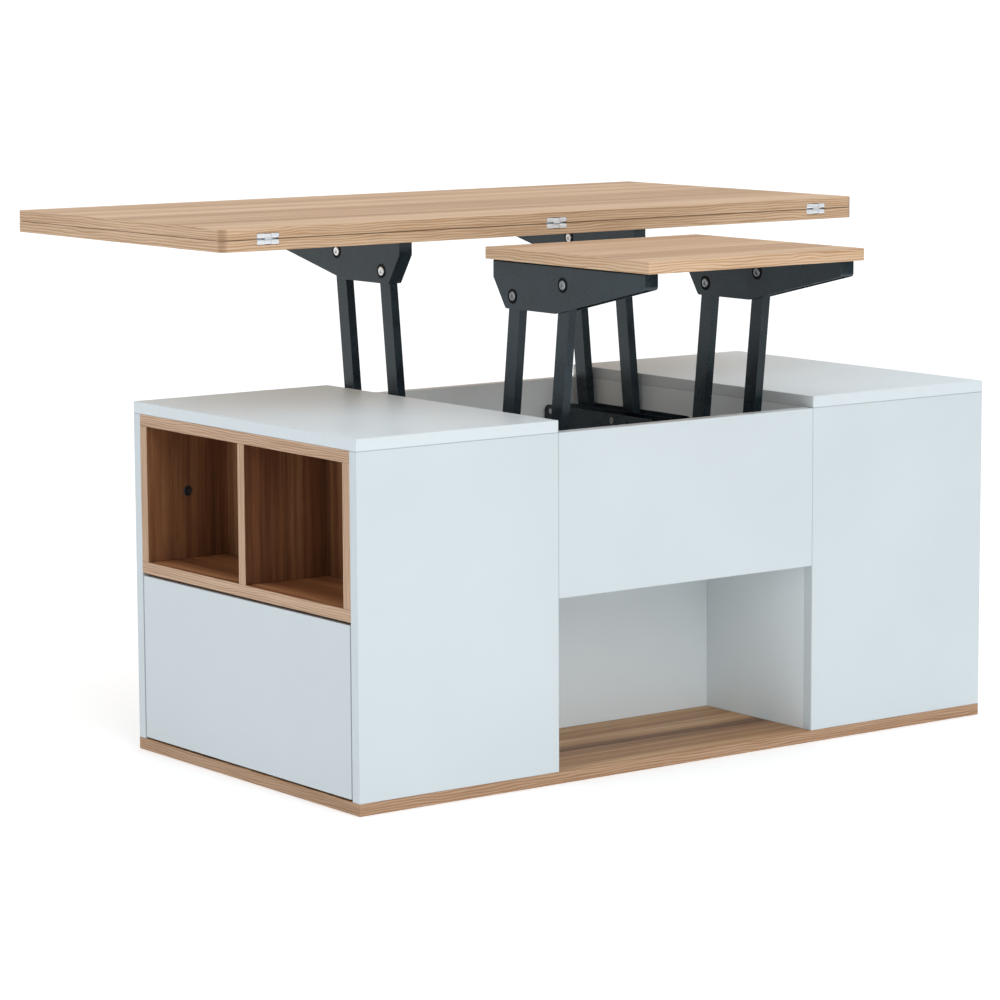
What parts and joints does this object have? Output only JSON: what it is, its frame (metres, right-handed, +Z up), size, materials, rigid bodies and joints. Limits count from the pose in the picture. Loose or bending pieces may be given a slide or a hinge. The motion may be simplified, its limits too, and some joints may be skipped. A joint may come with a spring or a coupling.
{
  "type": "lift top coffee table",
  "caption": "Rectangular storage coffee table whose tops rise on parallel arms; a folding leaf, end drawers, cubbies and an open middle niche.",
  "frame": {"origin": "centre of the base board's underside, on the floor", "axes": "+X along the table to its right end, +Y to the back, +Z up"},
  "size_m": [1.021, 0.8956, 0.6782],
  "materials": {
    "white_board": "satin white melamine",
    "wood": "straight-grained light wood print, satin",
    "black_steel": "satin black powder coat",
    "rivet_steel": "bright plated",
    "spring_steel": "oiled",
    "zinc": "bright zinc",
    "black_plastic": "matt"
  },
  "bodies": {
    "root": {"base_board": "wood", "left_front_panel": "white_board", "left_rear_panel": "white_board", "left_top_panel": "white_board", "left_inner_wall": "white_board", "right_front_panel": "white_board", "right_rear_panel": "white_board", "right_top_panel": "white_board", "right_inner_wall": "white_board", "centre_front_panel": "white_board", "centre_rear_panel": "white_board", "mechanism_shelf": "white_board", "niche_back": "white_board", "left_cubby_top": "wood", "left_cubby_bottom": "wood", "left_cubby_divider": "wood", "left_cubby_back": "wood", "left_cubby_sides": "wood", "right_cubby_top": "wood", "right_cubby_bottom": "wood", "right_cubby_divider": "wood", "right_cubby_back": "wood", "right_cubby_sides": "wood", "cubby_screw_caps": "black_plastic", "drawer_cabinet_rails": "zinc", "left_lift_base": "black_steel", "right_lift_base": "black_steel", "lift_base_pins": "rivet_steel", "lift_springs": "spring_steel", "lift_base_screws": "zinc"},
    "large_rear_arms": {"left_large_rear_arm": "black_steel", "right_large_rear_arm": "black_steel"},
    "large_front_arms": {"left_large_front_arm": "black_steel", "right_large_front_arm": "black_steel"},
    "small_rear_arms": {"left_small_rear_arm": "black_steel", "right_small_rear_arm": "black_steel"},
    "small_front_arms": {"left_small_front_arm": "black_steel", "right_small_front_arm": "black_steel"},
    "large_top": {"lower_leaf": "wood", "leaf_hinge_lower": "zinc", "leaf_hinge_pins": "zinc", "left_large_bracket": "black_steel", "right_large_bracket": "black_steel", "large_bracket_screws": "zinc", "large_pivot_pins": "rivet_steel"},
    "upper_leaf": {"upper_leaf": "wood", "leaf_hinge_upper": "zinc"},
    "small_top": {"small_top_board": "wood", "left_small_bracket": "black_steel", "right_small_bracket": "black_steel", "small_bracket_screws": "zinc", "small_pivot_pins": "rivet_steel"},
    "left_drawer": {"left_drawer_front": "white_board", "left_drawer_walls": "white_board", "left_drawer_bottom": "white_board", "left_drawer_rails": "zinc"},
    "right_drawer": {"right_drawer_front": "white_board", "right_drawer_walls": "white_board", "right_drawer_bottom": "white_board", "right_drawer_rails": "zinc"}
  },
  "joints": [
    {"name": "lift", "type": "hinge", "parent": "root", "child": "large_rear_arms", "pos_m": [0, 0.202, 0.3843], "axis": [1, 0, 0], "range_deg": [0, 86.7]},
    {"name": "large_front_arms_swing", "type": "hinge", "parent": "root", "child": "large_front_arms", "pos_m": [0, 0.1, 0.3643], "axis": [1, 0, 0], "range_deg": [0, 86.7]},
    {"name": "large_top_level", "type": "hinge", "parent": "large_rear_arms", "child": "large_top", "pos_m": [0, 0.22909, 0.62579], "axis": [1, 0, 0], "range_deg": [-86.7, 0]},
    {"name": "small_rear_arms_swing", "type": "hinge", "parent": "root", "child": "small_rear_arms", "pos_m": [0, -0.079, 0.3455], "axis": [1, 0, 0], "range_deg": [-86.7, 0]},
    {"name": "small_front_arms_swing", "type": "hinge", "parent": "root", "child": "small_front_arms", "pos_m": [0, -0.181, 0.3655], "axis": [1, 0, 0], "range_deg": [-86.7, 0]},
    {"name": "small_top_level", "type": "hinge", "parent": "small_rear_arms", "child": "small_top", "pos_m": [0, -0.10609, 0.58699], "axis": [1, 0, 0], "range_deg": [0, 86.7]},
    {"name": "leaf_fold", "type": "hinge", "parent": "large_top", "child": "upper_leaf", "pos_m": [0, 0.0187, 0.66399], "axis": [1, 0, 0], "range_deg": [0, 180]},
    {"name": "left_drawer_slide", "type": "slide", "parent": "root", "child": "left_drawer", "axis": [-1, 0, 0], "range_m": [0, 0.19]},
    {"name": "right_drawer_slide", "type": "slide", "parent": "root", "child": "right_drawer", "axis": [1, 0, 0], "range_m": [0, 0.19]}
  ],
  "couplings": [
    {"joint": "large_front_arms_swing", "follows": "lift", "ratio": 1},
    {"joint": "large_top_level", "follows": "lift", "ratio": -1},
    {"joint": "small_rear_arms_swing", "follows": "lift", "ratio": -1},
    {"joint": "small_front_arms_swing", "follows": "lift", "ratio": -1},
    {"joint": "small_top_level", "follows": "lift", "ratio": 1}
  ]
}
